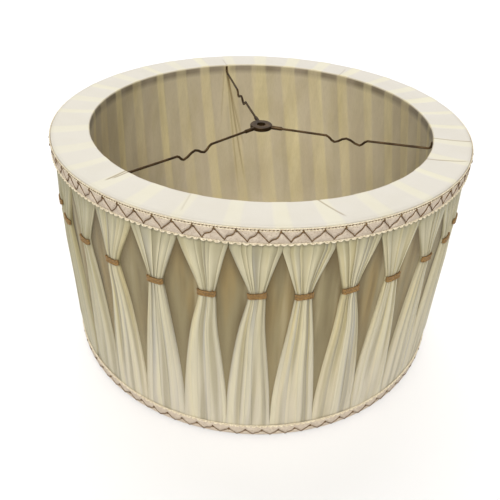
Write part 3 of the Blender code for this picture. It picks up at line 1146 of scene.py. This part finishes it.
@dataclass
class PleatedOverlay:
    """Pleated cloth over the cover, drawn together by ties into a row of bunches.

    The nudges move single bunches from their even places: a bunch's number, its turn in degrees and its
    rise in metres.
    """

    drum: Drum
    finish: OverlayFinish
    section: PleatSection = PleatSection()
    first_deg: float = -90.0
    neck_width: float = 0.0172
    neck_depth: float = 0.0036
    neck_height: float = 0.2150
    neck_reach: float = 0.035
    tie_height: float = 0.0065
    top_gap: float = 0.0105
    foot_gap: float = 0.002
    pleats: tuple[int, int] = (7, 10)
    pleat_rise: float = 0.00055
    low_pleat_rise: float = 0.00050
    swell: float = 0.0023
    crinkle: float = 0.00028
    clearance: float = 0.0003
    side_tuck: float = 0.0009
    tape_overlap: float = 0.0014
    rows_above: int = 26
    rows_neck: int = 8
    rows_below: int = 64
    seed: int = 23
    nudges: tuple[tuple[int, float, float], ...] = (
        (0, 1.0, 0.0),
        (2, -0.75, -0.0015),
        (3, -0.4, -0.0020),
        (4, 0.5, 0.0),
        (5, 1.0, 0.0),
        (26, -1.1, 0.0020),
        (27, -1.8, 0.0022),
        (28, -0.25, 0.0),
        (29, 0.5, 0.0),
        (30, 1.05, 0.0),
    )

    def __post_init__(self) -> None:
        """Draw the bunches."""
        rng = np.random.default_rng(self.seed)
        self.pitch = TURN / BUNCHES
        first = math.radians(self.first_deg)
        angles = [first + number * self.pitch for number in range(BUNCHES)]
        self.bunches = [Bunch.draw(rng, angle, self.neck_height, *self.pleats) for angle in angles]
        for number, turn_deg, rise in self.nudges:
            self.bunches[number].wander += math.radians(turn_deg)
            self.bunches[number].neck_height += rise

    def nearness(self, bunch: Bunch, height: np.ndarray) -> np.ndarray:
        """Return how near the heights are to the bunch's tie, from 0 to 1."""
        return np.exp(-(((height - bunch.neck_height) / self.neck_reach) ** 2))

    def levels(self, bunch: Bunch) -> np.ndarray:
        """Space the rows.

        Args:
            bunch: the bunch.

        Returns:
            The heights of its rows, from the lower edge up.
        """
        half = self.tie_height / 2
        low, high = self.drum.low_tape[0] + self.foot_gap, self.drum.top - self.top_gap
        below = np.linspace(0, 1, self.rows_below)
        below = low + (bunch.neck_height - half - low) * (1 - (1 - below) ** 1.25)
        tie = (bunch.neck_height - half, bunch.neck_height + half)
        neck = np.linspace(*tie, self.rows_neck + 2)[1:-1]
        above = np.linspace(tie[1], high, self.rows_above)
        return np.concatenate([below, neck, above])

    def widths(self, bunch: Bunch, height: np.ndarray) -> tuple[np.ndarray, np.ndarray]:
        """Spread the bunch above and below its tie.

        Args:
            bunch: the bunch.
            height: the rows' heights.

        Returns:
            How far it reaches to the left and to the right of its middle, as shares of half a pitch.
        """
        half = self.tie_height / 2
        least = self.neck_width / (self.pitch * self.drum.cover)
        neck = bunch.neck_height
        up = (height - neck - half) / (self.drum.tape[0] - neck - half)
        down = (neck - half - height) / (neck - half - self.drum.low_tape[1])
        above = least + (1 - least) * np.clip(up / bunch.meets_above, 0, 1) ** 1.05
        sides = []
        for spread in (bunch.spread_left, bunch.spread_right):
            share = np.clip(down * spread / 0.84, 0, 1)
            flare = least + (1 - least) * (1 - (1 - share) ** 1.5) ** 1.15
            sides.append(np.where(height >= neck, above, flare))
        return sides[0], sides[1]

    def depth(self, bunch: Bunch, height: np.ndarray) -> np.ndarray:
        """Stand the bunch off the cover.

        Args:
            bunch: the bunch.
            height: the rows' heights.

        Returns:
            How far its middle stands off the cover, in metres.
        """
        low, neck, high = self.drum.low_tape[1], bunch.neck_height, self.drum.tape[0]
        levels = [low - 0.01, low, low + 0.035, 0.105, neck - 0.030, neck, neck + 0.025, high, high + 0.02]
        middle = self.neck_depth
        foot = (self.drum.low_tape[2] - self.tape_overlap - self.drum.cover) / 0.85
        stands = [foot, foot, 2.6 * MM, 2.4 * MM, 2.9 * MM, middle, 2.2 * MM, 0.9 * MM, 0.5 * MM]
        varied = 1 + (bunch.swell - 1) * (np.abs(height - neck) > 0.01)
        return np.interp(height, levels, stands) * varied

    def _pleats(self, bunch: Bunch, height: np.ndarray) -> list[np.ndarray]:
        """Lay the pleats side by side.

        Args:
            bunch: the bunch.
            height: the rows' heights.

        Returns:
            The place across the bunch from -1 to 1, the rise, the tone, the fold's shade and the edge's
            light, each as rows by columns.
        """
        knots = [self.drum.low_tape[1], 0.12, bunch.neck_height, self.drum.tape[0]]
        levels = bunch.bounds[::-1]
        bounds = np.stack([np.interp(height, knots, level) for level in levels.T], axis=1)
        parts = ([], [], [], [], [])
        for i, direction in enumerate(bunch.directions):
            place, lift, dark, lit = self.section.laid(direction)
            start, end = bounds[:, i : i + 1], bounds[:, i + 1 : i + 2]
            across = start + (end - start) * place
            tone = bunch.tones[i] + 0.25 * (lift - 0.5)
            edge = lit * min(bunch.heights[i], 1.0)
            values = (across, lift * bunch.heights[i], tone, dark, edge)
            for part, value in zip(parts, values):
                part.append(np.broadcast_to(value, across.shape))
        across, relief, tone, fold, edges = (np.concatenate(part, axis=1) for part in parts)
        side = np.ones((len(height), 1))
        return [
            np.concatenate([-side, across, side], axis=1),
            np.concatenate([0 * side, relief, 0 * side], axis=1),
            np.concatenate([tone[:, :1], tone, tone[:, -1:]], axis=1),
            np.concatenate([side, fold, side], axis=1),
            np.concatenate([0 * side, edges, 0 * side], axis=1),
        ]

    def strip(self, bunch: Bunch) -> tuple[np.ndarray, dict[str, np.ndarray]]:
        """Make the points of one bunch.

        Args:
            bunch: the bunch.

        Returns:
            Its points, rows from the lower edge up by columns from left to right, and what is stored
            on them.
        """
        height = self.levels(bunch)
        low, high, neck = self.drum.low_tape[1], self.drum.tape[0], bunch.neck_height
        across, relief, tone, fold, edges = self._pleats(bunch, height)
        # Ripples that crinkle the cloth and also paint light and shade along it.
        ripple_light_and_shade = np.zeros(across.shape)
        for waves, start, weight in bunch.ripples:
            bend = 0.6 * np.sin(height[:, None] * 25 + start)
            ripple_light_and_shade += weight * np.cos(across * waves + start + bend) / 3
        near = self.nearness(bunch, height)[:, None]
        above = smooth(height, neck - 0.01, neck + 0.02)[:, None]
        below = smooth(-height, -(neck - 0.004), -(neck - 0.06))[:, None]
        foot = smooth(height, low - 0.002, low + 0.026)[:, None]
        ends = smooth(height, low - 0.004, low + 0.03)[:, None]
        close = np.exp(-(((height - neck) / 0.013) ** 2))[:, None]
        squeeze = np.exp(-(((height - neck) / 0.0036) ** 4))[:, None]

        left, right = (side[:, None] for side in self.widths(bunch, height))
        reach = np.where(across < 0, left, right) * np.clip(across, -1.02, 1.02)
        turned = bunch.angle + bunch.wander * near + reach * self.pitch / 2
        rounded = (1 - np.minimum(np.abs(across), 1) ** (7 - 4.4 * near)) ** 0.5
        hull = self.depth(bunch, height)[:, None] * (1 - foot + foot * rounded)
        broad = 0.5 + 0.3 * np.cos(across * 6.6 + bunch.phase)
        broad = broad + 0.2 * np.cos(across * 11.3 - 2 * bunch.phase)
        pleat = (self.pleat_rise * above + self.low_pleat_rise * (1 - above)) * ends
        pleat = (pleat + self.pleat_rise * near) * (1 - 0.5 * squeeze)
        swell = self.swell * broad * below * ends * (1 - np.abs(across) ** 4)
        crinkle = self.crinkle * ripple_light_and_shade * ends * (1 - across**6)
        radius = self.drum.cover + self.clearance + hull * 0.85 + relief * pleat + swell + crinkle
        radius = radius - self.side_tuck * (np.abs(across) > 0.999) * foot
        lean = bunch.tilt * (turned - bunch.angle) * 0.25 * near
        points = around_axis(radius, turned, height[:, None] + lean)

        # Painted shade in the tucks, deeper near the tie.
        dark = fold * (0.42 + 0.30 * near + 0.45 * close - 0.27 * (1 - above))
        # Painted shade under the top tape, above the tie and on the left and right sides, where the light
        # falls less.
        shade = 0.55 * smooth(height, high - 0.030, high + 0.002)[:, None]
        left_side, right_side = smooth(-np.cos(turned), 0.50, 0.95), smooth(np.cos(turned), 0.60, 0.95)
        shade = shade + 0.25 * near * above + 0.62 * left_side + 0.22 * right_side
        # fold, edge, shade and ripple_light_and_shade hold painted shade and highlights; tone is the
        # cloth's own colour.
        values = {
            "tone": tone,
            "fold": np.clip(dark, 0, 1),
            "edge": edges * (0.30 + 0.70 * above),
            "shade": np.clip(shade, 0, 1),
            "ripple_light_and_shade": ripple_light_and_shade + 0.9 * (broad - 0.5) * below,
        }
        return points, values

    def build(self) -> bpy.types.Object:
        """Returns:
            The piece.
        """
        cloth = Patchwork("overlay_cloth")
        for bunch in self.bunches:
            points, values = self.strip(bunch)
            cloth.patch(points, **values)
        piece = cloth.build(self.finish.material())
        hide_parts("pleated_overlay")
        return piece


@dataclass
class Ties:
    """Braided bands that hold the bunches together."""

    drum: Drum
    overlay: PleatedOverlay
    finish: ThreadFinish
    ground: ThreadFinish
    half_width: float = 0.0091
    half_height: float = 0.0031
    clearance: float = 0.0008
    strand: float = 0.00085
    strands: int = 5
    lay: float = 0.0105
    ply_lay: float = 0.0022
    inset: float = 0.0005
    wrap_radius: float = 0.00075
    tuft_share: float = 0.75
    tuft_radius: float = 0.0008
    seed: int = 41

    def _band(self, bunch: Bunch, across: np.ndarray, along: np.ndarray, off: np.ndarray) -> np.ndarray:
        """Place points on one tie.

        Args:
            bunch: the bunch that it holds.
            across: height above the tie's middle line.
            along: distance to the right of its middle.
            off: distance out from its back.

        Returns:
            The points.
        """
        lean = math.tan(bunch.tilt)
        share = np.clip(np.abs(along) / (self.half_width + 0.0002), 0, 1)
        stand = self.overlay.neck_depth * (1 - share**6) ** 0.5
        radius = self.drum.cover + self.clearance + stand + off
        angle = bunch.angle + bunch.wander + (along - across * lean) / self.drum.cover
        return around_axis(radius, angle, bunch.neck_height + across + along * lean)

    def _backing(self, bands: Patchwork, bunch: Bunch, along: np.ndarray) -> None:
        """Add the band that the braid lies on.

        Args:
            bands: the mesh to add it to.
            bunch: the bunch that it holds.
            along: distances to the right of the tie's middle.
        """
        across = np.array([-1.0, -1.0, -0.5, 0.5, 1.0, 1.0])[:, None] * self.half_height * 0.9
        off = np.array([-1.2, 0.1, 0.25, 0.25, 0.1, -1.2])[:, None] * MM
        bands.patch(self._band(bunch, across, along[None, :], off))

    def _braid(self, cords: Patchwork, bunch: Bunch, along: np.ndarray, rng: np.random.Generator) -> None:
        """Add the braided strands, the cords that bind the two ends and a tuft on some ties.

        Args:
            cords: the mesh to add them to.
            bunch: the bunch that they hold.
            along: distances to the right of the tie's middle.
            rng: source of chance.
        """
        up = outward(bunch.angle + along / self.drum.cover)
        for strand in range(self.strands):
            phase = along / self.lay + strand / self.strands + rng.uniform(-0.03, 0.03)
            swing = 4 * np.abs(phase - np.floor(phase) - 0.5) - 1
            swing = np.sin(swing * math.pi / 2 * 0.92) * (self.half_height - self.inset)
            off = 0.0006 + 0.00035 * np.cos(phase * TURN * 2)
            path = self._band(bunch, swing, along, off)
            cords.tube(path, self.strand, up, sides=7, plies=2, lay=self.ply_lay)
        wrap = np.linspace(-1, 1, 9)
        for end in (-1, 1):
            edge = end * (self.half_width - 0.0004) * np.ones_like(wrap)
            path = self._band(bunch, wrap * self.half_height * 0.95, edge, np.full_like(wrap, 0.0007))
            ahead = np.repeat(up[:1], len(wrap), axis=0)
            cords.tube(path, self.wrap_radius, ahead, sides=7, plies=2, lay=0.002)
        if rng.random() < self.tuft_share:
            side = rng.choice([-1, 1])
            start = rng.uniform(0.45, 0.92) * side * self.half_width
            rise = np.linspace(0, 1, 7)
            lift = self.half_height - self.inset + rise * rng.uniform(0.0018, 0.0032)
            drift = start + rise * rng.uniform(-0.0012, 0.0012)
            path = self._band(bunch, lift, drift, 0.0010 - 0.0006 * rise)
            ahead = np.repeat(up[len(up) // 2, None], len(rise), axis=0)
            cords.tube(path, self.tuft_radius * (1 - 0.45 * rise), ahead, sides=7)

    def build(self) -> list[bpy.types.Object]:
        """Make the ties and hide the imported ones.

        Returns:
            The backing and the braid.
        """
        rng = np.random.default_rng(self.seed)
        bands, cords = Patchwork("tie_backing"), Patchwork("tie_braid")
        along = np.linspace(-self.half_width, self.half_width, 61)
        for bunch in self.overlay.bunches:
            self._backing(bands, bunch, along)
            self._braid(cords, bunch, along, rng)
        names = [f"tie_{i + 1:02d}" for i in range(len(self.overlay.bunches))]
        backing = bands.build(self.ground.material())
        braid = cords.build(self.finish.material())
        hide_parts(*names)
        return [backing, braid]


@dataclass
class Trim:
    """Woven tape with looped edges and a zigzag cord, round one edge of the shade."""

    name: str
    rim: tuple[float, float, float]
    tape: TapeFinish
    edging: ThreadFinish
    cord: ThreadFinish
    repeats: int
    first_deg: float
    seed: int
    ring: str
    swing: float = 0.0060
    drop: float = 0.0
    looped: bool = True
    puff: float = 0.0015
    valley: float = 0.0015
    inset: float = 0.0009
    cord_radius: float = 0.00054
    cord_lay: float = 0.0019
    loop_radius: float = 0.00075
    edging_lay: float = 0.0022
    stitch_radius: float = 0.00040
    knot_height: float = 0.0013
    knot_width: float = 0.0009

    def __post_init__(self) -> None:
        """Place the zigzag and draw its strokes."""
        self.first = math.radians(self.first_deg)
        self.middle = (self.rim[0] + self.rim[1]) / 2 + 0.0002 - self.drop
        rng = np.random.default_rng(self.seed + 1)
        count = self.repeats
        self.tips = self.swing * rng.uniform(0.94, 1.06, count)
        self.bases = self.swing * rng.uniform(0.96, 1.08, count)
        self.turns = rng.uniform(0.44, 0.53, count)
        self.falls = np.stack([rng.uniform(0.0, 0.35, count), rng.uniform(0.95, 1.15, count)], axis=1)
        self.climbs = np.stack([rng.uniform(0.1, 0.9, count), rng.uniform(0.9, 1.7, count)], axis=1)

    def _stroke(self, share: np.ndarray, hook: np.ndarray | float, sag: np.ndarray | float) -> np.ndarray:
        """Return how far a stroke has risen: hook steepens both of its ends, sag keeps it low."""
        steep = 4 * (share - 0.5) ** 3 + 0.5
        return (share + (steep - share) * hook) ** sag

    def _course(self, place: np.ndarray) -> np.ndarray:
        """Follow the zigzag.

        Args:
            place: places round the edge, in repeats from the first.

        Returns:
            The zigzag's height above its middle line at each place.
        """
        number = np.floor(place).astype(int) % self.repeats
        share = place - np.floor(place)
        tip, base, turn = self.tips[number], self.bases[number], self.turns[number]
        fall = self._stroke(np.clip(share / turn, 0, 1), *self.falls[number].T)
        climb = self._stroke(np.clip((share - turn) / (1 - turn), 0, 1), *self.climbs[number].T)
        return np.where(share < turn, tip - (tip + base) * fall, -base + (tip + base) * climb)

    def _tape(self) -> bpy.types.Object:
        """Make the tape, which puffs up between the zigzag's strokes.

        Returns:
            The piece.
        """
        low, high, outer = self.rim
        columns = self.repeats * 24
        angle = np.arange(columns) / columns * TURN
        share = np.concatenate([[0.0], np.linspace(0, 1, 27), [1.0]])
        off = np.concatenate([[-1.0, -0.2], np.full(25, 0.1), [-0.2, -1.0]]) * MM
        height = low + 0.0018 + (high - low - 0.0032) * share
        wave = 0.15 * MM * np.sin(angle * 39) * np.sin(angle * 7 + 1)
        place = (angle - self.first) / TURN * self.repeats
        steep = 1 / math.hypot(1, 2 * self.swing * self.repeats * 2 / (TURN * outer))
        away = (height[:, None] - self.middle - self._course(place)[None, :]) * steep / self.valley
        puff = self.puff * (1 - np.exp(-(away**2))) * np.sin(math.pi * share)[:, None] ** 0.6
        radius = outer - self.inset + off[:, None] + wave[None, :] * (share[:, None] > 0.0) + puff
        cloth = Patchwork(f"{self.name}_tape_cloth")
        cloth.patch(around_axis(radius, angle[None, :], height[:, None]), closed=True)
        piece = cloth.build(self.tape.material())
        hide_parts(f"{self.name}_trim_tape")
        high - low
        TURN * outer
        return piece

    def _edging(self) -> bpy.types.Object:
        """Make the plump loops along one edge and the cords that run beside them.

        Returns:
            The piece.
        """
        low, high, outer = self.rim
        rng = np.random.default_rng(self.seed)
        thread = Patchwork(f"{self.name}_edging")
        loops = self.repeats * 3
        share = np.linspace(-1, 1, 11)
        level = low + 0.0010 if self.looped else high - 0.0024
        for i in range(loops):
            middle = (i + 0.5 + rng.uniform(-0.06, 0.06)) / loops * TURN + self.first
            angle = middle + share * rng.uniform(0.32, 0.40) / loops * TURN
            height = level + 0.0008 * share**2 + rng.uniform(-0.0002, 0.0002)
            path = around_axis(outer + 0.0002 + 0.0003 * (1 - share**2), angle, height)
            up = outward(angle)
            thread.tube(path, self.loop_radius * (1 - 0.45 * share**4), up, plies=2, lay=0.0028)
        count = loops * 8
        angle = np.arange(count) / count * TURN
        up = outward(angle)
        wave = 0.0002 * np.sin(angle * loops * 2)
        cords = ((low + 0.0022, 0.0005), (high - 0.0007, 0.0006), (high - 0.0031, 0.0005))
        for level, radius in cords if self.looped else cords[1:2]:
            path = around_axis(outer, angle, level + wave)
            thread.tube(path, radius, up, sides=7, closed=True, plies=2, lay=self.edging_lay)
        piece = thread.build(self.edging.material())
        return piece

    def _stitches_and_hole_shade(self, cord: Patchwork, rng: np.random.Generator) -> None:
        """Add the short dark stitches along the upper edge, which also stand as painted shade for the small
        holes along it.

        Args:
            cord: the mesh to add them to.
            rng: source of chance.
        """
        _, high, outer = self.rim
        count = self.repeats * 6
        for i in range(count):
            middle = (i + rng.uniform(-0.12, 0.12)) / count * TURN + self.first
            angle = middle + np.linspace(-1, 1, 4) * 0.0007 * rng.uniform(0.5, 1.1) / outer
            height = high - 0.0018 + np.linspace(-1, 1, 4) * rng.uniform(-0.0005, 0.0005)
            path = around_axis(outer + 0.0004, angle, height)
            up = outward(angle)
            cord.tube(path, self.stitch_radius, up, sides=6)

    def _knot(self, cord: Patchwork, angle: float, tip: float, rng: np.random.Generator) -> None:
        """Add the knot at an upper turn of the zigzag.

        Args:
            cord: the mesh to add it to.
            angle: where the turn is.
            tip: the turn's height above the zigzag's middle line.
            rng: source of chance.
        """
        outer = self.rim[2]
        wrap = np.linspace(-1, 1, 7)
        for lean, place in ((0.5, -0.0004), (-0.4, 0.0005)):
            turned = angle + (place + wrap * lean * self.knot_width * rng.uniform(0.6, 1.3)) / outer
            height = self.middle + tip - 0.0004 + wrap * self.knot_height * rng.uniform(0.8, 1.15)
            path = around_axis(outer + 0.0009 - 0.0005 * wrap**2, turned, height)
            up = outward(turned)
            cord.tube(path, self.cord_radius * 1.15, up, sides=7)

    def _zigzag(self) -> bpy.types.Object:
        """Make the cord that runs up and down the tape, with a knot at each upper turn.

        Returns:
            The piece.
        """
        outer = self.rim[2]
        rng = np.random.default_rng(self.seed + 2)
        cord = Patchwork(f"{self.name}_cord")
        share = np.linspace(0, 1, 25)
        step = TURN / self.repeats
        for i in range(self.repeats):
            start = i / self.repeats * TURN + self.first
            tip, base, turn = self.tips[i], self.bases[i], self.turns[i]
            fall = tip - (tip + base) * self._stroke(share, *self.falls[i])
            climb = -base + (tip + base) * self._stroke(share, *self.climbs[i])
            strokes = (
                (start + step * turn * share, fall, rng.uniform(0.85, 1.0)),
                (start + step * (turn + (1 - turn) * share), climb, rng.uniform(0.85, 1.2)),
            )
            for angle, height, scale in strokes:
                bow = 0.0003 * np.sin(share * math.pi) * rng.uniform(0.6, 1.4)
                path = around_axis(outer - 0.0003 + bow, angle, self.middle + height)
                up = outward(angle)
                cord.tube(path, self.cord_radius * scale, up, sides=7, plies=2, lay=self.cord_lay)
            self._knot(cord, start, tip, rng)
        if self.looped:
            self._stitches_and_hole_shade(cord, rng)
        piece = cord.build(self.cord.material())
        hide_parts(f"{self.name}_trim_cord")
        return piece

    def build(self) -> list[bpy.types.Object]:
        """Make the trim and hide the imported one."""
        return [self._tape(), self._edging(), self._zigzag()]


@dataclass
class Frame:
    """Wire frame and spider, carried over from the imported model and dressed."""

    steel: MetalFinish
    bronze: MetalFinish

    def build(self) -> None:
        """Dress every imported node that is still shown."""
        steel, bronze = self.steel.material(), self.bronze.material()
        for name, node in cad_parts.items():
            if not node.hide_render:
                node.data.materials.clear()
                node.data.materials.append(bronze if name.startswith("spider") else steel)
                LOG.info("%s: carried over", name)


def aimed(place: np.ndarray, ahead: np.ndarray, up: np.ndarray) -> Matrix:
    """Turn an object to face one way.

    Args:
        place: where it is.
        ahead: the direction that it looks in.
        up: a direction towards its upper side.

    Returns:
        Its matrix.
    """
    back = -ahead / np.linalg.norm(ahead)
    right = np.cross(up, back)
    right /= np.linalg.norm(right)
    axes = np.eye(4)
    columns = (right, np.cross(back, right), back, place)
    for number, column in enumerate(columns):
        axes[:3, number] = column
    return Matrix(axes.tolist())


@dataclass(frozen=True)
class Sun:
    """A light that falls evenly from one side, wider where its shadows are softer."""

    name: str
    ahead: Direction
    spread_deg: float
    strength: float
    colour: Colour

    def build(self) -> None:
        """Add the light to the scene."""
        lamp = bpy.data.lights.new(self.name, "SUN")
        lamp.angle = math.radians(self.spread_deg)
        lamp.energy = self.strength
        lamp.color = self.colour
        light = bpy.data.objects.new(self.name, lamp)
        above, upwards = np.array([0.0, 0.0, 2.0]), np.array([0.0, 0.0, 1.0])
        light.matrix_world = aimed(above, np.array(self.ahead), upwards)
        bpy.context.scene.collection.objects.link(light)


@dataclass
class Stage:
    """Floor, lights and camera."""

    drum: Drum
    floor_size: float = 12.0
    floor_gap: float = 0.0005
    floor_colour: Colour = tint(247, 247, 248)
    key: Sun = Sun("key", (0.06, 0.66, -0.75), 28.0, 2.95, (1.0, 0.985, 0.96))
    fill: Sun = Sun("fill", (0.10, -0.62, -0.78), 50.0, 1.10, (1.0, 0.99, 0.975))
    world_strength: float = 0.25
    lens: float = 40.79
    sensor: float = 36.0
    camera_height: float = 0.2732
    camera_back: float = 0.6751
    camera_ahead: Direction = (-0.00985, 0.81590, -0.57812)
    camera_up: Direction = (-0.04505, 0.57720, 0.81537)

    def _floor(self) -> None:
        """Make the floor."""
        half = self.floor_size / 2
        mesh = bpy.data.meshes.new("floor")
        corners = [(-half, -half, 0), (half, -half, 0), (half, half, 0), (-half, half, 0)]
        mesh.from_pydata(corners, [], [(0, 1, 2, 3)])
        floor = bpy.data.objects.new("floor", mesh)
        floor.location.z = -self.floor_gap
        mesh.materials.append(Graph("floor").surface(Base_Color=self.floor_colour, Roughness=0.9))
        bpy.context.scene.collection.objects.link(floor)

    def _camera(self) -> None:
        """Make the camera."""
        camera = bpy.data.objects.new("camera", bpy.data.cameras.new("camera"))
        camera.data.lens = self.lens
        camera.data.sensor_width = self.sensor
        place = np.array([0.0, -self.camera_back, self.drum.top + self.camera_height])
        camera.matrix_world = aimed(place, np.array(self.camera_ahead), np.array(self.camera_up))
        bpy.context.scene.collection.objects.link(camera)
        bpy.context.scene.camera = camera

    def build(self) -> None:
        """Make the floor, the lights and the camera."""
        self._floor()
        scene = bpy.context.scene
        scene.view_settings.view_transform = "Standard"
        world = bpy.data.worlds.new("studio")
        world.use_nodes = True
        sky = world.node_tree.nodes["Background"]
        sky.inputs["Color"].default_value = (1.0, 1.0, 1.0, 1.0)
        sky.inputs["Strength"].default_value = self.world_strength
        scene.world = world
        self.key.build()
        self.fill.build()
        self._camera()


def main() -> None:
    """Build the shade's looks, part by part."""
    logging.basicConfig(level=logging.INFO, format="%(message)s")
    drum = Drum.read()
    LOG.info("drum: %s", drum)
    Lining(drum, SheerFinish()).build()
    overlay = PleatedOverlay(drum, OverlayFinish())
    Cover(drum, CoverFinish(), overlay).build()
    overlay.build()
    braid = ThreadFinish("tie_braid", tint(84, 60, 26), tint(164, 127, 70), 0.0008)
    backing = ThreadFinish("tie_backing", tint(70, 50, 22), tint(104, 78, 40), 0.0011)
    Ties(drum, overlay, braid, backing).build()
    edging = ThreadFinish("edging_thread", tint(196, 180, 148), tint(236, 226, 200), 0.0015)
    cord = ThreadFinish("braid_cord", tint(76, 54, 24), tint(124, 94, 50), 0.0014)
    tape = TapeFinish()
    Trim(
        "top",
        drum.tape,
        tape,
        edging,
        cord,
        repeats=79,
        first_deg=-89.6,
        seed=61,
        ring="top_outer_ring",
    ).build()
    Trim(
        "bottom",
        drum.low_tape,
        tape,
        edging,
        cord,
        repeats=82,
        first_deg=-90.6,
        seed=71,
        ring="bottom_ring",
        swing=0.0044,
        drop=0.0030,
        looped=False,
        cord_radius=0.00042,
    ).build()
    steel = MetalFinish("frame_steel", tint(150, 148, 140), tint(120, 116, 108))
    bronze = MetalFinish("spider_bronze", tint(92, 72, 46), tint(58, 44, 28))
    Frame(steel, bronze).build()
    Stage(drum).build()


if __name__ == "__main__":
    main()
